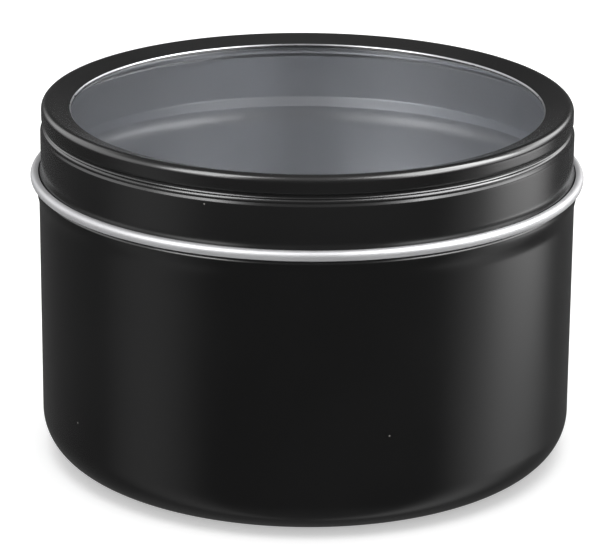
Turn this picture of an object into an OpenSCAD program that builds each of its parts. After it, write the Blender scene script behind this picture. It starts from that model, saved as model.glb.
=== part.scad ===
// Round slip-lid tin with a clear window in its lid, pressed from thin tinplate.
// Millimetres, +Z up, origin at the centre of the base. The lid is drawn closed.

/* [Whole tin] */
// Outer diameter of the straight wall
body_d = 80; // [60:1:110]
// Height from the table to the crown of the closed lid
closed_h = 54; // [34:1:90]
// Thickness of the tinplate in the body and the lid
sheet = 0.25; // [0.2:0.01:0.28]

/* [Base] */
// Outer radius of the corner between the base and the wall
foot_r = 6.2; // [4:0.2:9]
// Width of the flat ring that the tin stands on
stand_w = 2.5; // [1.5:0.1:5]
// Height by which the base panel is raised inside the stand ring
panel_rise = 0.8; // [0.5:0.1:1.4]
// Width over which the base panel rises
panel_ramp = 2.4; // [1.8:0.1:4]

/* [Neck and stop bead] */
// Step in radius from the straight wall to the neck
neck_step = 0.83; // [0.75:0.02:0.95]
// Free space between the neck's rim and the lid's inward bead
rim_gap = 0.1; // [0.05:0.05:0.5]
// Height of the stop bead's long lower flank
bead_h = 3; // [2.6:0.1:6]
// How far the stop bead stands out from the straight wall
bead_out = 0.35; // [0.2:0.05:0.45]
// Outer radius of the stop bead's crest
crest_r = 0.6; // [0.5:0.05:0.8]
// Lean of the shoulder above the bead, in degrees from upright
shoulder_lean = 32; // [22:1:36]
// Radius of the bend between the shoulder and the neck
neck_bend_r = 0.8; // [0.6:0.05:1]
// Free space between the shoulder and the lid's curled edge
stop_gap = 0.1; // [0.05:0.05:0.3]

/* [Lid] */
// Radial clearance between the neck and the top of the lid
slip_gap = 0.1; // [0.05:0.01:0.15]
// Depth from the lid's crown to the centre of its curled edge
lid_depth = 11.1; // [9.5:0.1:16]
// Outer radius of the lid's top corner
corner_r = 1; // [0.8:0.1:1.4]
// Width of the black ring between the window and the lid's outer face
frame_w = 4.4; // [3.8:0.1:8]
// Fall of the ring towards the window, in degrees
frame_fall = 16.5; // [8:0.5:20]
// Height of the lip turned down round the window
lip_h = 0.4; // [0.35:0.05:0.6]
// Bend radius of the lip, on the middle of the sheet
lip_bend_r = 0.22; // [0.18:0.02:0.26]

/* [Inward bead that traps the window] */
// Depth from the lid's crown to the middle of the bead
groove_drop = 3; // [2.8:0.1:4]
// Height of the bead
groove_h = 1.6; // [1.4:0.1:2]
// How far the bead is pressed in
groove_in = 0.5; // [0.45:0.05:0.6]
// Share of the bead's curve that belongs to its two lips
lip_share = 0.42; // [0.38:0.01:0.5]

/* [Step from the bead to the wider skirt] */
// Height of the upright land between the bead and the step
land_h = 0.12; // [0.04:0.02:0.4]
// How far the skirt stands out from the top of the lid
step_out = 0.18; // [0.14:0.02:0.26]
// Lean of the step's face, in degrees from upright
step_lean = 26; // [20:1:30]
// Radius of the step's two bends, on the middle of the sheet
step_bend_r = 0.2; // [0.16:0.02:0.3]

/* [Curled edge of the lid] */
// Outer diameter of the curl's tube
curl_d = 1.5; // [1.3:0.05:1.8]
// Space between the skirt's outer face and the curl's tube
curl_stand = 0.06; // [0.04:0.01:0.12]
// Height over which the skirt flares out to the curl
flare_h = 1.8; // [1.2:0.1:2.4]
// Turn of the curl, in degrees
curl_turn = 305; // [270:5:310]

/* [Window] */
// Thickness of the clear plastic
pane_t = 0.4; // [0.3:0.05:0.5]
// Radial clearance between the window's rim and the lid
pane_gap = 0.15; // [0.1:0.01:0.2]
// Outer bend radius where the window's rim turns down
pane_bend_r = 0.6; // [0.55:0.05:0.7]
// Free space between the window's rim and the inward bead
pane_rest_gap = 0.05; // [0.02:0.01:0.15]

/* [Hidden] */
$fn = 128;
// Flat steps in a sheet's tight bends and in its slow curves
bend_steps = 10;
slow_steps = 6;
// Points nearer than this are one point
touch = 0.001;
enamel = [0.09, 0.09, 0.09];
clear_plastic = [0.8, 0.88, 0.9, 0.35];

body_r = body_d / 2;
half = sheet / 2;
neck_r = body_r - neck_step;
top_in_r = neck_r + slip_gap;
top_r = top_in_r + sheet;
skirt_r = top_r + step_out;
window_r = top_r - frame_w;

// Heights of the lid's features above the table
groove_z = closed_h - groove_drop;
rim_z = groove_z - groove_h / 2 - rim_gap;
curl_z = closed_h - lid_depth;

// Middle of the curl's tube, and the radius of its sheet's middle line
curl_r = curl_d / 2;
curl_mid = curl_r - half;
curl_x = skirt_r + curl_stand + curl_r;

// The shoulder is a cone at stop_gap from the curl. Its outer face holds the
// points whose distance along the cone's normal is shoulder_off.
shoulder_n = [cos(shoulder_lean), sin(shoulder_lean)];
shoulder_off = shoulder_n * [curl_x, curl_z] - curl_r - stop_gap;
crest_x = body_r + bead_out - crest_r;
crest_z = (shoulder_off - crest_r - shoulder_n[0] * crest_x) / shoulder_n[1];
neck_mid = neck_r - half;
bend_x = neck_mid + neck_bend_r;
bend_z = (shoulder_off - half + neck_bend_r - shoulder_n[0] * bend_x) / shoulder_n[1];

// Height of the window's top face: the underside of the turned-down lip
corner_x = top_r - corner_r;
corner_z = closed_h - corner_r;
frame_tan = tan(frame_fall);
frame_start = [corner_x - corner_r * sin(frame_fall), corner_z + corner_r * cos(frame_fall)];
frame_edge_z = frame_start[1] - (frame_start[0] - window_r) * frame_tan;
pane_top_z = frame_edge_z - lip_h;

// Points along an arc from angle a0 to a1, both ends included
function arc(c, r, a0, a1, steps) =
    [for (i = [0:steps]) c + r * [cos(a0 + (a1 - a0) * i / steps), sin(a0 + (a1 - a0) * i / steps)]];

// A jog of two equal arcs: it starts upright at p, moves sideways by dx over a height dz
// and ends upright. A negative dz runs down.
function jog(p, dx, dz, steps) =
    let (turn = 2 * atan(abs(dx / dz)),
         r = abs(dz) / (2 * sin(turn)),
         side = sign(dx), way = sign(dz))
    [for (i = [0:2 * steps])
        let (a = turn * (i <= steps ? i : 2 * steps - i) / steps,
             x = r * (1 - cos(a)), z = r * sin(a))
        i <= steps ? p + [side * x, way * z] : p + [dx - side * x, dz - way * z]];

function unit(v) = v / norm(v);
function left(v) = [-v[1], v[0]];

// Offset of point i of a path to its left by d, mitred at the corners
function offset_point(path, i, d) =
    let (last = len(path) - 1,
         before = unit(path[max(i, 1)] - path[max(i, 1) - 1]),
         after = unit(path[min(i, last - 1) + 1] - path[min(i, last - 1)]),
         n = unit(left(before) + left(after)))
    path[i] + n * d / (n * left(before));

// A path without the points that lie on the one before, where two arcs meet
function joined(path) =
    [for (i = [0:len(path) - 1]) if (i == 0 || norm(path[i] - path[max(i, 1) - 1]) > touch) path[i]];

// Outline of a sheet of thickness t whose middle follows the path
function sheet_outline(path, t) = concat(
    [for (i = [0:len(path) - 1]) offset_point(path, i, t / 2)],
    [for (i = [len(path) - 1:-1:0]) offset_point(path, i, -t / 2)]);

module spun_sheet(path, t) {
    rotate_extrude() polygon(sheet_outline(joined(path), t));
}

// The raised panel, the stand ring, the corner, the wall, the stop bead and the neck,
// as the middle of the sheet from the axis to the rim
function body_path() =
    let (wall_mid = body_r - half,
         foot_mid = foot_r - half,
         stand_out = body_r - foot_r,
         stand_in = stand_out - stand_w,
         ramp_turn = 2 * atan(panel_rise / panel_ramp),
         ramp_r = panel_ramp / (2 * sin(ramp_turn)),
         panel_z = half + panel_rise,
         ramp_in = stand_in - panel_ramp)
    concat(
        [[0, panel_z]],
        arc([ramp_in, panel_z - ramp_r], ramp_r, 90, 90 - ramp_turn, slow_steps),
        arc([stand_in, half + ramp_r], ramp_r, 270 - ramp_turn, 270, slow_steps),
        arc([stand_out, foot_r], foot_mid, -90, 0, bend_steps),
        jog([wall_mid, crest_z - bead_h], bead_out, bead_h, slow_steps),
        arc([crest_x, crest_z], crest_r - half, 0, shoulder_lean, bend_steps),
        arc([bend_x, bend_z], neck_bend_r, 180 + shoulder_lean, 180, bend_steps),
        [[neck_mid, rim_z]]);

module tin_body() {
    color(enamel) spun_sheet(body_path(), sheet);
}

// The lip round the window, the sloping ring, the top corner, the inward bead, the step, the
// skirt and the curled edge, as the middle of the sheet from the lip to the curl's free end
function lid_path() =
    let (top_mid = top_r - half,
         skirt_mid = skirt_r - half,
         lip_mid = window_r + half,
         lip_turn = 90 - frame_fall,
         // The bend touches the lip's upright line and the ring's sloping line
         lip_x = lip_mid + lip_bend_r,
         frame_line = frame_start - half * [-sin(frame_fall), cos(frame_fall)],
         lip_z = frame_line[1] - (frame_line[0] - lip_x) * frame_tan - lip_bend_r / cos(frame_fall),
         groove_turn = 2 * atan(2 * groove_in / groove_h),
         groove_rs = groove_h / (2 * sin(groove_turn)),
         lip_rs = groove_rs * lip_share,
         deep_rs = groove_rs - lip_rs,
         groove_top = groove_z + groove_h / 2,
         groove_low = groove_z - groove_h / 2,
         step_top = groove_low - land_h,
         // What the step's straight face covers between its two bends
         face_out = step_out - 2 * step_bend_r * (1 - cos(step_lean)),
         step_h = 2 * step_bend_r * sin(step_lean) + face_out / tan(step_lean))
    concat(
        [[lip_mid, pane_top_z]],
        arc([lip_x, lip_z], lip_bend_r, 180, 180 - lip_turn, bend_steps),
        arc([corner_x, corner_z], corner_r - half, 90 + frame_fall, 0, bend_steps),
        arc([top_mid - lip_rs, groove_top], lip_rs, 0, -groove_turn, slow_steps),
        arc([top_mid - groove_in + deep_rs, groove_z], deep_rs, 180 - groove_turn, 180 + groove_turn,
            bend_steps),
        arc([top_mid - lip_rs, groove_low], lip_rs, groove_turn, 0, slow_steps),
        arc([top_mid + step_bend_r, step_top], step_bend_r, 180, 180 + step_lean, slow_steps),
        arc([skirt_mid - step_bend_r, step_top - step_h], step_bend_r, step_lean, 0, slow_steps),
        jog([skirt_mid, curl_z + flare_h], curl_x - curl_mid - skirt_mid, -flare_h, slow_steps),
        arc([curl_x, curl_z], curl_mid, 180, 180 + curl_turn, 3 * bend_steps));

module lid_ring() {
    color(enamel) spun_sheet(lid_path(), sheet);
}

// A flat clear disc under the lip, with a rim turned down onto the inward bead
function pane_path() =
    let (rim_mid = top_in_r - pane_gap - pane_t / 2,
         bend_mid = pane_bend_r - pane_t / 2,
         flat_z = pane_top_z - pane_t / 2)
    concat(
        [[0, flat_z]],
        arc([rim_mid - bend_mid, flat_z - bend_mid], bend_mid, 90, 0, bend_steps),
        [[rim_mid, groove_z + groove_h / 2 + pane_rest_gap]]);

module window_pane() {
    color(clear_plastic) spun_sheet(pane_path(), pane_t);
}

tin_body();
lid_ring();
window_pane();
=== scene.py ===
import math

import bmesh
import bpy
from mathutils import Matrix, Vector


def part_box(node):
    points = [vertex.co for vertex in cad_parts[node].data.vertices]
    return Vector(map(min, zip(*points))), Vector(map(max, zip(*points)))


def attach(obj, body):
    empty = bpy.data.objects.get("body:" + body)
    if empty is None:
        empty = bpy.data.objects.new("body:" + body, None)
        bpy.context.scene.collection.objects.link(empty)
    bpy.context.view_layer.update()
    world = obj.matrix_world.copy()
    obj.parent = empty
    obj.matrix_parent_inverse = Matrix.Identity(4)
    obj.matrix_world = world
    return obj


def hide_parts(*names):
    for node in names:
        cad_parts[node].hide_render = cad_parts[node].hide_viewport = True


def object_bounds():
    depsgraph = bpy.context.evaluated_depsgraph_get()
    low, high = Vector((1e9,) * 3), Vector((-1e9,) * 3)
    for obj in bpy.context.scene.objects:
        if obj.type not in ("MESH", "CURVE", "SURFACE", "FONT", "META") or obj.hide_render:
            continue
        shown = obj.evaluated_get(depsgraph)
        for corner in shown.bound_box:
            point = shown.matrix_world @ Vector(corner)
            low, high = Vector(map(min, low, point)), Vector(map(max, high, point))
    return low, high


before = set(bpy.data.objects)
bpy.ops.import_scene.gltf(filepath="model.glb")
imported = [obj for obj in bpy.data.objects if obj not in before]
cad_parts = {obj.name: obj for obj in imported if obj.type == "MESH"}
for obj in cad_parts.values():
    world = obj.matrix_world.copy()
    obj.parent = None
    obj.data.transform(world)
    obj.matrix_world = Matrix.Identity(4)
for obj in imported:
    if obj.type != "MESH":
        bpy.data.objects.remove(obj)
cadLow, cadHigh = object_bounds()
mm = 0.001


# Profiles are drawn in the XZ plane: X is the radius from the tin's axis, Z the height.
# A pen holds the mesh, the vertex at its tip and the way that it points, in radians.

def startPen(radius, height, heading=0.0):
    mesh = bmesh.new()
    tip = bmesh.ops.create_vert(mesh, co=(radius, 0, height))["vert"][0]
    return {"mesh": mesh, "tip": tip, "heading": math.radians(heading)}


def stepTo(pen, target):
    start = pen["tip"].co.copy()
    pen["tip"] = bmesh.ops.extrude_vert_indiv(pen["mesh"], verts=[pen["tip"]])["verts"][0]
    bmesh.ops.translate(pen["mesh"], verts=[pen["tip"]], vec=target - start)


def lineTo(pen, radius, height, guard=0.25 * mm):
    # a straight run, with a loop near each end that keeps its shading flat
    start = pen["tip"].co.copy()
    end = Vector((radius, 0, height))
    run = end - start
    pen["heading"] = math.atan2(run.z, run.x)
    if run.length > 4 * guard:
        stepTo(pen, start + run.normalized() * guard)
        stepTo(pen, end - run.normalized() * guard)
    stepTo(pen, end)


def forward(pen, length):
    ahead = Vector((math.cos(pen["heading"]), 0, math.sin(pen["heading"])))
    end = pen["tip"].co + ahead * length
    lineTo(pen, end.x, end.z)


def bend(pen, radius, degrees, steps):
    # a positive bend turns left, a negative one right
    turn = math.radians(degrees)
    aside = pen["heading"] + math.copysign(math.pi / 2, turn)
    centre = pen["tip"].co + Vector((math.cos(aside), 0, math.sin(aside))) * radius
    arc = bmesh.ops.spin(pen["mesh"], geom=[pen["tip"]], cent=centre, axis=(0, -1, 0),
                         angle=turn, steps=steps)
    pen["tip"] = [part for part in arc["geom_last"] if isinstance(part, bmesh.types.BMVert)][0]
    pen["heading"] += turn


def jogTurn(across, along):
    # the turn, in degrees, of the two equal arcs that shift a line sideways
    return math.degrees(2 * math.atan(abs(across / along)))


def jogRadius(across, along):
    return abs(along) / (2 * math.sin(math.radians(jogTurn(across, along))))


def jog(pen, across, along, steps):
    # shifts the line sideways over a run along its heading, a positive shift to the left
    turn = math.copysign(jogTurn(across, along), across)
    radius = jogRadius(across, along)
    bend(pen, radius, turn, steps)
    bend(pen, radius, -turn, steps)


def turnProfile(pen, outside, steps=256):
    # a full turn round the axis, closed at its seam and its pole
    mesh = pen["mesh"]
    bmesh.ops.spin(mesh, geom=mesh.verts[:] + mesh.edges[:], cent=(0, 0, 0), axis=(0, 0, 1),
                   angle=2 * math.pi, steps=steps, use_merge=True)
    bmesh.ops.remove_doubles(mesh, verts=mesh.verts, dist=0.0005 * mm)
    bmesh.ops.recalc_face_normals(mesh, faces=mesh.faces)
    probe = Vector(outside)
    nearest = min(mesh.faces, key=lambda face: (face.calc_center_median() - probe).length)
    if nearest.normal.dot(probe - nearest.calc_center_median()) < 0:
        bmesh.ops.reverse_faces(mesh, faces=mesh.faces)
    return mesh


def makePiece(name, mesh, materials, thickness, edgeRound, backMaterial):
    # the mesh is the middle of a sheet: Solidify gives it both faces, and Bevel rounds its cut edges
    data = bpy.data.meshes.new(name)
    for face in mesh.faces:
        face.smooth = True
    mesh.to_mesh(data)
    mesh.free()
    piece = bpy.data.objects.new(name, data)
    bpy.context.scene.collection.objects.link(piece)
    for material in materials:
        data.materials.append(material)
    sheet = piece.modifiers.new("sheet", "SOLIDIFY")
    sheet.thickness = thickness
    sheet.offset = 0
    sheet.use_even_offset = True
    sheet.use_quality_normals = True
    sheet.material_offset = backMaterial
    sheet.material_offset_rim = backMaterial
    edge = piece.modifiers.new("cutEdge", "BEVEL")
    edge.affect = "EDGES"
    edge.width = edgeRound
    edge.segments = 2
    edge.limit_method = "ANGLE"
    edge.angle_limit = math.radians(50)
    edge.harden_normals = True
    return piece


def finishWithin(mesh, materialIndex, inside):
    # gives the faces that lie within a region their own finish
    for face in mesh.faces:
        centre = face.calc_center_median()
        if inside(math.hypot(centre.x, centre.y), centre.z):
            face.material_index = materialIndex


# Materials

def newMaterial(name):
    material = bpy.data.materials.new(name)
    material.use_nodes = True
    return material, material.node_tree, material.node_tree.nodes["Principled BSDF"]


def objectPattern(tree, kind, stretch, **settings):
    # a texture node on Object coordinates, stretched by three scales per metre
    place = tree.nodes.new("ShaderNodeTexCoord")
    scale = tree.nodes.new("ShaderNodeMapping")
    scale.inputs["Scale"].default_value = stretch
    texture = tree.nodes.new(kind)
    for key, value in settings.items():
        texture.inputs[key].default_value = value
    tree.links.new(place.outputs["Object"], scale.inputs["Vector"])
    tree.links.new(scale.outputs["Vector"], texture.inputs["Vector"])
    return texture


def ranged(tree, source, low, high, fromLow=0.3, fromHigh=0.7):
    # spreads a pattern's middle values over a wanted range
    node = tree.nodes.new("ShaderNodeMapRange")
    node.inputs["From Min"].default_value = fromLow
    node.inputs["From Max"].default_value = fromHigh
    node.inputs["To Min"].default_value = low
    node.inputs["To Max"].default_value = high
    tree.links.new(source, node.inputs["Value"])
    return node.outputs["Result"]


def blended(tree, factor, first, second):
    # a colour between two, each a plain colour or a socket
    node = tree.nodes.new("ShaderNodeMix")
    node.data_type = "RGBA"
    tree.links.new(factor, node.inputs["Factor"])
    for name, colour in (("A", first), ("B", second)):
        socket = [s for s in node.inputs if s.name == name and s.type == "RGBA"][0]
        if isinstance(colour, bpy.types.NodeSocket):
            tree.links.new(colour, socket)
        else:
            socket.default_value = (*colour, 1)
    return [s for s in node.outputs if s.type == "RGBA"][0]


def maths(tree, operation, *values):
    node = tree.nodes.new("ShaderNodeMath")
    node.operation = operation
    for socket, value in zip(node.inputs, values):
        if isinstance(value, bpy.types.NodeSocket):
            tree.links.new(value, socket)
        else:
            socket.default_value = value
    return node.outputs["Value"]


def bumped(tree, shader, height, depth):
    node = tree.nodes.new("ShaderNodeBump")
    node.inputs["Distance"].default_value = depth
    tree.links.new(height, node.inputs["Height"])
    tree.links.new(node.outputs["Normal"], shader.inputs["Normal"])


tinEnamelLook = {
    "colour": (0.0036, 0.0036, 0.0037),
    "cloudColour": (0.0050, 0.0050, 0.0051),
    "roughness": (0.19, 0.25),
    "specular": 0.5,
    "clouds": (45, 45, 30),
    "drawLines": (1400, 1400, 24),
    "drawDepth": 0.0003 * mm,
    "dustScale": (420, 420, 420),
    "dustSize": 0.05,
    "dustShare": 0.05,
    "dustColour": (0.30, 0.29, 0.27),
}
# the lid's enamel is a lighter copy of the tin's enamel, with painted light: its paler colour stands for the
# brighter light on the skirt, and it has more dust
litLidEnamelLook = dict(tinEnamelLook, colour=(0.0062, 0.0062, 0.0063), cloudColour=(0.0082, 0.0082, 0.0083),
                     dustShare=0.09)


def blackEnamel(name, look):
    material, tree, shader = newMaterial(name)
    clouds = objectPattern(tree, "ShaderNodeTexNoise", look["clouds"], Scale=1, Detail=3)
    lines = objectPattern(tree, "ShaderNodeTexNoise", look["drawLines"], Scale=1, Detail=2)
    dust = objectPattern(tree, "ShaderNodeTexVoronoi", look["dustScale"], Scale=1)
    # a speck lies at the middle of a few cells, and most cells have none
    cell = tree.nodes.new("ShaderNodeSeparateColor")
    tree.links.new(dust.outputs["Color"], cell.inputs["Color"])
    chosen = maths(tree, "LESS_THAN", cell.outputs["Red"], look["dustShare"])
    speck = maths(tree, "LESS_THAN", dust.outputs["Distance"], look["dustSize"])
    dusty = maths(tree, "MULTIPLY", chosen, speck)
    paint = blended(tree, ranged(tree, clouds.outputs["Fac"], 0, 1), look["colour"], look["cloudColour"])
    colour = blended(tree, dusty, paint, look["dustColour"])
    tree.links.new(colour, shader.inputs["Base Color"])
    low, high = look["roughness"]
    tree.links.new(ranged(tree, clouds.outputs["Fac"], low, high), shader.inputs["Roughness"])
    shader.inputs["Specular IOR Level"].default_value = look["specular"]
    bumped(tree, shader, lines.outputs["Fac"], look["drawDepth"])
    return material


tinplateLook = {
    "colour": (0.62, 0.63, 0.65),
    "cloudColour": (0.68, 0.69, 0.71),
    "roughness": (0.32, 0.35),
    "clouds": (70, 70, 55),
    "drawLines": (500, 500, 40),
    "metallic": 1.0,
    "drawDepth": 0.00008 * mm,
}
curlLook = {
    "colour": (0.44, 0.44, 0.45),
    "cloudColour": (0.50, 0.50, 0.51),
    "metallic": 0.45,
    "roughness": (0.46, 0.54),
    "clouds": (90, 90, 90),
    "drawLines": (600, 600, 3000),
    "drawDepth": 0.001 * mm,
}
# a bright bare strip on the bend of the window's lip: a painted highlight, which gives the lip its bright line
lipHighlightLook = dict(curlLook, colour=(0.22, 0.22, 0.23), cloudColour=(0.32, 0.32, 0.33), metallic=0.9,
               roughness=(0.26, 0.34))


def bareTinplate(name, look):
    material, tree, shader = newMaterial(name)
    clouds = objectPattern(tree, "ShaderNodeTexNoise", look["clouds"], Scale=1, Detail=4)
    lines = objectPattern(tree, "ShaderNodeTexNoise", look["drawLines"], Scale=1, Detail=2)
    shader.inputs["Metallic"].default_value = look["metallic"]
    colour = blended(tree, ranged(tree, clouds.outputs["Fac"], 0, 1), look["colour"], look["cloudColour"])
    tree.links.new(colour, shader.inputs["Base Color"])
    low, high = look["roughness"]
    tree.links.new(ranged(tree, lines.outputs["Fac"], low, high), shader.inputs["Roughness"])
    bumped(tree, shader, lines.outputs["Fac"], look["drawDepth"])
    return material


paneLook = {
    "colour": (0.02, 0.021, 0.023),
    "hazeColour": (0.035, 0.036, 0.04),
    "roughness": 0.05,
    "ior": 2.3,
    "alpha": 0.26,
    "clouds": (60, 60, 60),
}


def clearPlastic(name, look):
    material, tree, shader = newMaterial(name)
    haze = objectPattern(tree, "ShaderNodeTexNoise", look["clouds"], Scale=1, Detail=3)
    colour = blended(tree, ranged(tree, haze.outputs["Fac"], 0, 1), look["colour"], look["hazeColour"])
    tree.links.new(colour, shader.inputs["Base Color"])
    shader.inputs["Roughness"].default_value = look["roughness"]
    shader.inputs["IOR"].default_value = look["ior"]
    shader.inputs["Alpha"].default_value = look["alpha"]
    return material


tinEnamel = blackEnamel("tinEnamel", tinEnamelLook)
# the lid's enamel is painted paler, as painted light on the skirt
litLidEnamel = blackEnamel("litLidEnamel", litLidEnamelLook)
tinplate = bareTinplate("bareTinplate", tinplateLook)
rolledTin = bareTinplate("rolledTin", curlLook)
# the finish of the lip's painted highlight strip
lipHighlightTin = bareTinplate("lipHighlightTin", lipHighlightLook)
plastic = clearPlastic("clearPlastic", paneLook)
print("materials made")


# The tin: a base panel raised inside a stand ring, a rounded foot, a straight wall,
# a stop bead and a neck that the lid slips over

tinSizes = {
    "sheet": 0.25 * mm,
    "footRadius": 6.2 * mm,
    "standWidth": 2.5 * mm,
    "panelRise": 0.8 * mm,
    "panelRamp": 2.4 * mm,
    "beadHeight": 3.0 * mm,
    "beadOut": 0.35 * mm,
    "crestRadius": 0.6 * mm,
    "crestHeight": 41.38 * mm,
    "neckStep": 0.83 * mm,
    "neckBend": 0.8 * mm,
    "shoulderLean": 32.0,
    "edgeRound": 0.05 * mm,
}


def makeTin(sizes):
    low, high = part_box("tin_body")
    half = sizes["sheet"] / 2
    wall = high.x - sizes["beadOut"] - half
    neck = high.x - sizes["beadOut"] - sizes["neckStep"] - half
    foot = sizes["footRadius"] - half
    standOut = wall - foot
    standIn = standOut - sizes["standWidth"]
    rampTurn = jogTurn(sizes["panelRise"], sizes["panelRamp"])
    panelHeight = low.z + half + sizes["panelRise"]
    lean = math.radians(sizes["shoulderLean"])
    crest = sizes["crestRadius"] - half
    # what the shoulder's straight part covers of the step from the crest to the neck
    slopeAcross = wall + sizes["beadOut"] - neck - (crest + sizes["neckBend"]) * (1 - math.cos(lean))

    pen = startPen(0, panelHeight)
    lineTo(pen, standIn - sizes["panelRamp"], panelHeight)
    jog(pen, -sizes["panelRise"], sizes["panelRamp"], 10)
    lineTo(pen, standOut, low.z + half)
    bend(pen, foot, 90, 24)
    lineTo(pen, wall, sizes["crestHeight"] - sizes["beadHeight"])
    jog(pen, -sizes["beadOut"], sizes["beadHeight"], 8)
    bend(pen, crest, sizes["shoulderLean"], 8)
    forward(pen, slopeAcross / math.sin(lean))
    bend(pen, sizes["neckBend"], -sizes["shoulderLean"], 8)
    lineTo(pen, neck, high.z)
    mesh = turnProfile(pen, outside=(60 * mm, 0, 20 * mm))
    return makePiece("tinShell", mesh, [tinEnamel, tinplate], sizes["sheet"], sizes["edgeRound"], 1)


tinShell = makeTin(tinSizes)
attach(tinShell, "tin")
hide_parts("tin_body")
print("tin made")


# The lid: a lip round the window, a sloping ring, a top corner, an inward bead that traps
# the window, a small step, a skirt and an edge curled outwards, which shows the sheet's bare side

lidSizes = {
    "sheet": 0.25 * mm,
    "ringWidth": 4.4 * mm,
    "ringFall": 16.5,
    "cornerRadius": 1.0 * mm,
    "lipHeight": 0.4 * mm,
    "lipBend": 0.22 * mm,
    "grooveDrop": 3.0 * mm,
    "grooveHeight": 1.6 * mm,
    "grooveIn": 0.5 * mm,
    "lipShare": 0.42,
    "landHeight": 0.12 * mm,
    "stepOut": 0.18 * mm,
    "stepLean": 26.0,
    "stepBend": 0.2 * mm,
    "curlRadius": 0.75 * mm,
    "curlStand": 0.06 * mm,
    "curlTurn": 305.0,
    "flareHeight": 1.8 * mm,
    "edgeRound": 0.05 * mm,
}


def makeLid(sizes):
    low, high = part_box("lid_ring")
    half = sizes["sheet"] / 2
    curl = sizes["curlRadius"] - half
    curlAxis = high.x - sizes["curlRadius"]
    curlHeight = low.z + sizes["curlRadius"]
    skirtFace = curlAxis - sizes["curlRadius"] - sizes["curlStand"]
    skirt = skirtFace - half
    topFace = skirtFace - sizes["stepOut"]
    top = topFace - half
    windowRadius = topFace - sizes["ringWidth"]
    corner = sizes["cornerRadius"] - half
    fall = math.radians(sizes["ringFall"])
    # the ring's top face leaves the corner here and falls to the window
    ringStart = topFace - sizes["cornerRadius"] * (1 + math.sin(fall))
    ringTop = high.z - sizes["cornerRadius"] * (1 - math.cos(fall))
    ringEdge = ringTop - (ringStart - windowRadius) * math.tan(fall)
    lip = windowRadius + half
    lipLow = ringEdge - sizes["lipHeight"]
    # the lip's bend touches its upright line and the ring's sloping middle line
    bendAxis = lip + sizes["lipBend"]
    middleStart = (ringStart + half * math.sin(fall), ringTop - half * math.cos(fall))
    bendHeight = (middleStart[1] - (middleStart[0] - bendAxis) * math.tan(fall)
                  - sizes["lipBend"] / math.cos(fall))
    grooveTop = high.z - sizes["grooveDrop"] + sizes["grooveHeight"] / 2
    grooveTurn = jogTurn(sizes["grooveIn"], sizes["grooveHeight"] / 2)
    grooveSum = jogRadius(sizes["grooveIn"], sizes["grooveHeight"] / 2)
    grooveLip = grooveSum * 2 * sizes["lipShare"]
    grooveDeep = grooveSum * 2 - grooveLip
    lean = math.radians(sizes["stepLean"])
    stepAcross = sizes["stepOut"] - 2 * sizes["stepBend"] * (1 - math.cos(lean))
    flareAcross = curlAxis - curl - skirt

    pen = startPen(lip, lipLow, 90)
    lineTo(pen, lip, bendHeight, guard=0.02 * mm)
    bend(pen, sizes["lipBend"], -(90 - sizes["ringFall"]), 12)
    lineTo(pen, *middleStart)
    bend(pen, corner, -(90 + sizes["ringFall"]), 24)
    lineTo(pen, top, grooveTop)
    bend(pen, grooveLip, -grooveTurn, 10)
    bend(pen, grooveDeep, 2 * grooveTurn, 16)
    bend(pen, grooveLip, -grooveTurn, 10)
    forward(pen, sizes["landHeight"])
    bend(pen, sizes["stepBend"], sizes["stepLean"], 5)
    forward(pen, stepAcross / math.sin(lean))
    bend(pen, sizes["stepBend"], -sizes["stepLean"], 5)
    lineTo(pen, skirt, curlHeight + sizes["flareHeight"])
    jog(pen, flareAcross, sizes["flareHeight"], 8)
    bend(pen, curl, sizes["curlTurn"], 48)
    mesh = turnProfile(pen, outside=(37 * mm, 0, 70 * mm))
    freeEnd = curlAxis - 0.75 * curl

    def onCurl(radius, height):
        near = math.hypot(radius - curlAxis, height - curlHeight) < sizes["curlRadius"]
        return near and (height < curlHeight or radius > freeEnd)

    # the upper part of the lip's bend and its upright, where the painted highlight strip lies
    def onLipHighlight(radius, height):
        return radius < bendAxis - 0.5 * sizes["lipBend"] and height > bendHeight

    # a face's own finish is on the sheet's outer side, and the next one on its inner side
    finishes = [litLidEnamel, tinplate, litLidEnamel, rolledTin, lipHighlightTin, tinplate]
    finishWithin(mesh, 2, onCurl)
    finishWithin(mesh, 4, onLipHighlight)
    return makePiece("lidShell", mesh, finishes, sizes["sheet"], sizes["edgeRound"], 1)


lidShell = makeLid(lidSizes)
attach(lidShell, "lid")
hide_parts("lid_ring")
print("lid made")


# The window: a flat clear disc whose rim turns down onto the inward bead

paneSizes = {
    "thickness": 0.4 * mm,
    "bendRadius": 0.6 * mm,
    "edgeRound": 0.06 * mm,
}


def makePane(sizes):
    low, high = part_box("window_pane")
    half = sizes["thickness"] / 2
    rim = high.x - half
    bendMiddle = sizes["bendRadius"] - half
    pen = startPen(0, high.z - half)
    lineTo(pen, rim - bendMiddle, high.z - half)
    bend(pen, bendMiddle, -90, 12)
    lineTo(pen, rim, low.z, guard=0.04 * mm)
    mesh = turnProfile(pen, outside=(20 * mm, 0, 70 * mm))
    return makePiece("windowPane", mesh, [plastic], sizes["thickness"], sizes["edgeRound"], 0)


windowPane = makePane(paneSizes)
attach(windowPane, "lid")
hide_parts("window_pane")
print("window made")


# The studio. What the finishes mirror is a room that only glossy rays see: a pale dome, a dim
# table and soft walls beside the tin. Angles are in degrees, an azimuth to the right of the
# camera's side and an elevation from the level of the table.

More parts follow.
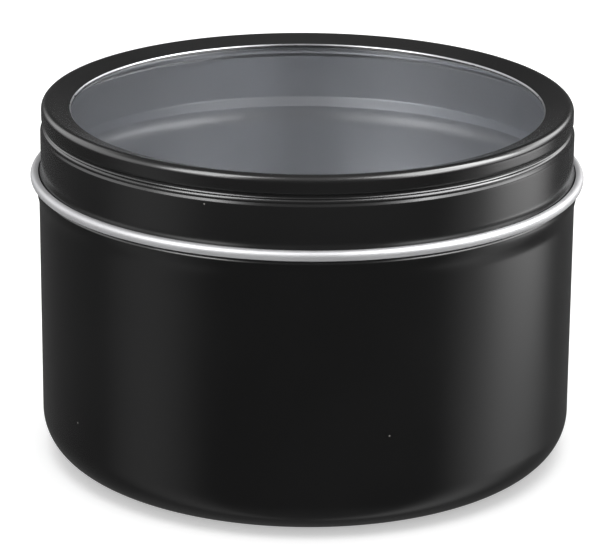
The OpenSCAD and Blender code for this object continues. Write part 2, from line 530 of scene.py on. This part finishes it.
studioLook = {
    "paper": 0.6,
    "dark": 0.11,
    "patches": {
        "front": {"azimuth": (-118, 118, 22), "low": (-2, 10), "high": (140, 10), "light": 0.2},
        "dome": {"azimuth": (-118, 118, 22), "low": (34, 26), "high": (140, 10), "light": 0.85},
        "behind": {"azimuth": (150, 210, 14), "low": (38, 18), "high": (140, 10), "light": 0.33},
        "table": {"azimuth": (-190, 190, 5), "low": (-140, 10), "high": (-46, 12), "light": 0.16},
        "rightGlow": {"azimuth": (40, 152, 8), "low": (15, 8), "high": (36, 8), "light": 6.0},
        "leftGlow": {"azimuth": (-70, -30, 8), "low": (15, 8), "high": (36, 8), "light": 4.5},
        "rightWall": {"azimuth": (84, 116, 12), "low": (8, 8), "high": (58, 8), "light": 7.0},
        "rightBand": {"azimuth": (84, 120, 14), "low": (-17, 5), "high": (-10, 6), "light": 5.2},
        "rightLow": {"azimuth": (70, 106, 20), "low": (-140, 10), "high": (6, 24), "light": 0.78},
        "leftWall": {"azimuth": (-152, -72, 12), "low": (9, 10), "high": (44, 8), "light": 2.5},
        "leftLow": {"azimuth": (-90, -48, 20), "low": (-140, 10), "high": (6, 24), "light": 0.43},
    },
}


def addPatch(tree, azimuth, elevation, patch):
    # a soft-edged patch of light between two azimuths and two elevations
    def past(angle, edge, soft):
        node = tree.nodes.new("ShaderNodeMapRange")
        node.interpolation_type = "SMOOTHSTEP"
        node.inputs["From Min"].default_value = math.radians(edge - soft)
        node.inputs["From Max"].default_value = math.radians(edge + soft)
        tree.links.new(angle, node.inputs["Value"])
        return node.outputs["Result"]

    left, right, soft = patch["azimuth"]
    fromMiddle = maths(tree, "SUBTRACT", azimuth, math.radians((left + right) / 2))
    aside = maths(tree, "ABSOLUTE", maths(tree, "WRAP", fromMiddle, math.pi, -math.pi))
    across = maths(tree, "SUBTRACT", 1.0, past(aside, (right - left) / 2, soft))
    below = maths(tree, "SUBTRACT", 1.0, past(elevation, *patch["high"]))
    upward = maths(tree, "MULTIPLY", past(elevation, *patch["low"]), below)
    return maths(tree, "MULTIPLY", maths(tree, "MULTIPLY", across, upward), patch["light"])


def makeStudio(look):
    world = bpy.data.worlds.new("studio")
    bpy.context.scene.world = world
    world.use_nodes = True
    world.cycles.sampling_method = "NONE"
    tree = world.node_tree
    place = tree.nodes.new("ShaderNodeTexCoord")
    axes = tree.nodes.new("ShaderNodeSeparateXYZ")
    tree.links.new(place.outputs["Generated"], axes.inputs["Vector"])
    azimuth = maths(tree, "ARCTAN2", axes.outputs["X"], maths(tree, "MULTIPLY", axes.outputs["Y"], -1.0))
    elevation = maths(tree, "ARCSINE", axes.outputs["Z"])
    mirrored = look["dark"]
    for patch in look["patches"].values():
        mirrored = maths(tree, "MAXIMUM", addPatch(tree, azimuth, elevation, patch), mirrored)
    rays = tree.nodes.new("ShaderNodeLightPath")
    glossy = maths(tree, "MULTIPLY", mirrored, rays.outputs["Is Glossy Ray"])
    plain = maths(tree, "MULTIPLY", maths(tree, "SUBTRACT", 1.0, rays.outputs["Is Glossy Ray"]), look["paper"])
    # the camera sees white paper
    seen = maths(tree, "MAXIMUM", maths(tree, "ADD", glossy, plain), rays.outputs["Is Camera Ray"])
    tree.links.new(seen, tree.nodes["Background"].inputs["Strength"])
    tree.nodes["Background"].inputs["Color"].default_value = (1, 1, 1, 1)


floorLook = {
    "radius": 4.0,
    "colour": (0.86, 0.86, 0.86),
    "roughness": 0.8,
    "glow": 0.42,
}


def makeFloor(look):
    mesh = bmesh.new()
    bmesh.ops.create_circle(mesh, cap_ends=True, segments=96, radius=look["radius"])
    data = bpy.data.meshes.new("floor")
    mesh.to_mesh(data)
    mesh.free()
    floor = bpy.data.objects.new("floor", data)
    bpy.context.scene.collection.objects.link(floor)
    material, tree, shader = newMaterial("paleFloor")
    shader.inputs["Base Color"].default_value = (*look["colour"], 1)
    shader.inputs["Roughness"].default_value = look["roughness"]
    shader.inputs["Specular IOR Level"].default_value = 0
    shader.inputs["Emission Color"].default_value = (1, 1, 1, 1)
    shader.inputs["Emission Strength"].default_value = look["glow"]
    data.materials.append(material)
    floor.visible_glossy = False


# Two soft boxes that only finishes mirror, and a broad light from above for the floor

lampLook = {
    "sun": {"strength": 1.6, "angle": 50},
    "boxes": {
        "boxRight": {"azimuth": (42, 112), "elevation": (27, 66), "radiance": 12},
        "boxLeft": {"azimuth": (-70, -33), "elevation": (28, 66), "radiance": 12},
    },
    "distance": 1.0,
}


def makeLamps(look):
    sun = bpy.data.lights.new("topLight", "SUN")
    sun.energy = look["sun"]["strength"]
    sun.angle = math.radians(look["sun"]["angle"])
    top = bpy.data.objects.new("topLight", sun)
    top.visible_glossy = False
    bpy.context.scene.collection.objects.link(top)
    aim = Vector((0, 0, cadHigh.z))
    for name, box in look["boxes"].items():
        left, right = [math.radians(angle) for angle in box["azimuth"]]
        low, high = [math.radians(angle) for angle in box["elevation"]]
        lamp = bpy.data.lights.new(name, "AREA")
        lamp.shape = "RECTANGLE"
        lamp.size = 2 * look["distance"] * math.tan((right - left) / 2) * math.cos((low + high) / 2)
        lamp.size_y = 2 * look["distance"] * math.tan((high - low) / 2)
        lamp.energy = box["radiance"] * math.pi * lamp.size * lamp.size_y
        azimuth = (left + right) / 2
        elevation = (low + high) / 2
        outward = Vector((math.sin(azimuth) * math.cos(elevation),
                          -math.cos(azimuth) * math.cos(elevation),
                          math.sin(elevation)))
        stand = bpy.data.objects.new(name, lamp)
        stand.location = aim + outward * look["distance"]
        stand.rotation_euler = outward.to_track_quat("Z", "Y").to_euler()
        stand.visible_camera = False
        stand.visible_diffuse = False
        bpy.context.scene.collection.objects.link(stand)


makeStudio(studioLook)
makeFloor(floorLook)
makeLamps(lampLook)
bpy.context.scene.view_settings.view_transform = "Standard"
bpy.context.scene.cycles.glossy_bounces = 8
print("studio made")


# The camera stands where the photograph's did

cameraPlace = {
    "back": 466.84 * mm,
    "height": 185.83 * mm,
    "downward": 18.90,
    "aside": 0.04,
    "roll": 0.453,
    "lens": 193.13,
    "sensor": 36.0,
}


def makeCamera(place):
    lens = bpy.data.cameras.new("camera")
    lens.lens = place["lens"]
    lens.sensor_width = place["sensor"]
    lens.clip_start = 0.01
    lens.clip_end = 20
    camera = bpy.data.objects.new("camera", lens)
    bpy.context.scene.collection.objects.link(camera)
    camera.location = (0, -place["back"], place["height"])
    aside = Matrix.Rotation(math.radians(place["aside"]), 4, "Z")
    tilt = Matrix.Rotation(math.radians(90 - place["downward"]), 4, "X")
    roll = Matrix.Rotation(math.radians(place["roll"]), 4, "Z")
    camera.rotation_euler = (aside @ tilt @ roll).to_euler()
    bpy.context.scene.camera = camera


makeCamera(cameraPlace)
print("camera placed")
